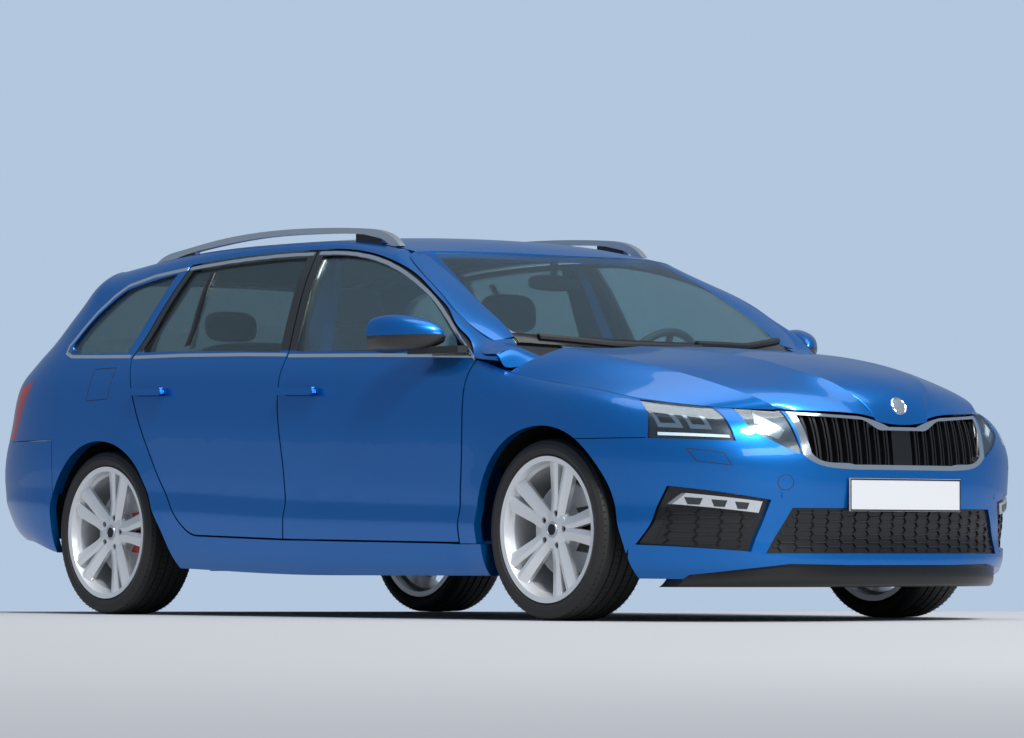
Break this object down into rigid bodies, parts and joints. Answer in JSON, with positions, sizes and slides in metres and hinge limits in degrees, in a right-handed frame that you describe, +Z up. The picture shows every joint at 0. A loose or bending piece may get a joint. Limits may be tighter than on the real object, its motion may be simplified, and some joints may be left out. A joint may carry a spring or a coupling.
{
  "type": "station wagon",
  "caption": "A blue estate car with opening doors, bonnet and tailgate, steered front wheels, alloy rims, roof rails and a furnished cabin.",
  "frame": {"origin": "on the ground at the centre of the car's outline", "axes": "+X the car's left side, +Y towards the tail, +Z up; the nose faces -Y"},
  "size_m": [2.04, 4.6841, 1.4561],
  "materials": {
    "body_paint": "metallic blue, clear coat",
    "clear_glass": "clear, faintly green",
    "dark_glass": "dark tint",
    "black_plastic": "fine grain",
    "chrome_trim": "polished",
    "lamp_body": "bright housing",
    "red_lens": "red lens",
    "rail_silver": "satin anodised",
    "plate_white": "blank plate",
    "tyre_rubber": "moulded rubber",
    "rim_alloy": "silver paint",
    "cast_iron": "as cast",
    "steel_dark": "satin black",
    "caliper_red": "red paint",
    "seat_fabric": "woven",
    "cabin_trim": "grained"
  },
  "bodies": {
    "chassis": {"body_side_left": "body_paint", "body_side_right": "body_paint", "cowl": "black_plastic", "dashboard": "cabin_trim", "engine_bay": "steel_dark", "engine_block": "cast_iron", "exhaust": "steel_dark", "firewall": "steel_dark", "floor_pan": "steel_dark", "fog_lamps": "lamp_body", "front_bumper": "body_paint", "front_fenders": "body_paint", "front_seats": "seat_fabric", "front_struts": "steel_dark", "front_subframe": "steel_dark", "grille_frame": "chrome_trim", "grilles": "black_plastic", "headlamp_lenses": "clear_glass", "headlamps": "lamp_body", "load_floor": "cabin_trim", "number_plates": "plate_white", "quarter_windows": "dark_glass", "radiator_support": "steel_dark", "rear_axle": "steel_dark", "rear_bumper": "body_paint", "rear_calipers": "caliper_red", "rear_seat": "seat_fabric", "rear_wheelhouses": "steel_dark", "roof_panel": "body_paint", "roof_rails": "rail_silver", "tail_lamps": "red_lens", "undertray": "black_plastic", "windscreen": "clear_glass"},
    "door_front_right": {"door_front_right": "body_paint", "glass_front_right": "clear_glass", "mirror_right": "body_paint"},
    "door_front_left": {"door_front_left": "body_paint", "glass_front_left": "clear_glass", "mirror_left": "body_paint"},
    "door_rear_right": {"door_rear_right": "body_paint", "glass_rear_right": "dark_glass"},
    "door_rear_left": {"door_rear_left": "body_paint", "glass_rear_left": "dark_glass"},
    "hood": {"hood": "body_paint"},
    "tailgate": {"tailgate": "body_paint", "tailgate_glass": "dark_glass", "tailgate_lamps": "red_lens"},
    "steering_wheel": {"steering_wheel": "cabin_trim"},
    "knuckle_right": {"knuckle_right": "cast_iron"},
    "knuckle_left": {"knuckle_left": "cast_iron"},
    "wheel_front_right": {"rim_front_right": "rim_alloy", "tyre_front_right": "tyre_rubber"},
    "wheel_front_left": {"rim_front_left": "rim_alloy", "tyre_front_left": "tyre_rubber"},
    "wheel_rear_right": {"rim_rear_right": "rim_alloy", "tyre_rear_right": "tyre_rubber"},
    "wheel_rear_left": {"rim_rear_left": "rim_alloy", "tyre_rear_left": "tyre_rubber"}
  },
  "joints": [
    {"name": "door_front_right", "type": "hinge", "parent": "chassis", "child": "door_front_right", "pos_m": [-0.882, -0.9335, 0.665], "axis": [0, 0, 1], "range_deg": [0, 68]},
    {"name": "door_front_left", "type": "hinge", "parent": "chassis", "child": "door_front_left", "pos_m": [0.882, -0.9335, 0.665], "axis": [0, 0, -1], "range_deg": [0, 68]},
    {"name": "door_rear_right", "type": "hinge", "parent": "chassis", "child": "door_rear_right", "pos_m": [-0.882, 0.1275, 0.665], "axis": [0, 0, 1], "range_deg": [0, 68]},
    {"name": "door_rear_left", "type": "hinge", "parent": "chassis", "child": "door_rear_left", "pos_m": [0.882, 0.1275, 0.665], "axis": [0, 0, -1], "range_deg": [0, 68]},
    {"name": "hood", "type": "hinge", "parent": "chassis", "child": "hood", "pos_m": [0, -1.2295, 0.88], "axis": [-1, 0, 0], "range_deg": [0, 60]},
    {"name": "tailgate", "type": "hinge", "parent": "chassis", "child": "tailgate", "pos_m": [0, 1.5755, 1.331], "axis": [1, 0, 0], "range_deg": [0, 78]},
    {"name": "steering_wheel", "type": "hinge", "parent": "chassis", "child": "steering_wheel", "pos_m": [0.37, -0.61449, 0.89534], "axis": [0, -0.9062, -0.4229], "range_deg": [-180, 180]},
    {"name": "steer_right", "type": "hinge", "parent": "chassis", "child": "knuckle_right", "pos_m": [-0.638, -1.4645, 0.3945], "axis": [0.1834, 0, 0.983], "range_deg": [-35, 35]},
    {"name": "steer_left", "type": "hinge", "parent": "chassis", "child": "knuckle_left", "pos_m": [0.638, -1.4645, 0.3945], "axis": [-0.1834, 0, 0.983], "range_deg": [-35, 35]},
    {"name": "wheel_front_right", "type": "hinge", "parent": "knuckle_right", "child": "wheel_front_right", "pos_m": [-0.768, -1.4645, 0.315], "axis": [1, 0, 0], "continuous": true},
    {"name": "wheel_front_left", "type": "hinge", "parent": "knuckle_left", "child": "wheel_front_left", "pos_m": [0.768, -1.4645, 0.315], "axis": [1, 0, 0], "continuous": true},
    {"name": "wheel_rear_right", "type": "hinge", "parent": "chassis", "child": "wheel_rear_right", "pos_m": [-0.768, 1.2125, 0.315], "axis": [1, 0, 0], "continuous": true},
    {"name": "wheel_rear_left", "type": "hinge", "parent": "chassis", "child": "wheel_rear_left", "pos_m": [0.768, 1.2125, 0.315], "axis": [1, 0, 0], "continuous": true}
  ],
  "couplings": [
    {"joint": "steer_left", "follows": "steer_right", "ratio": 1}
  ]
}
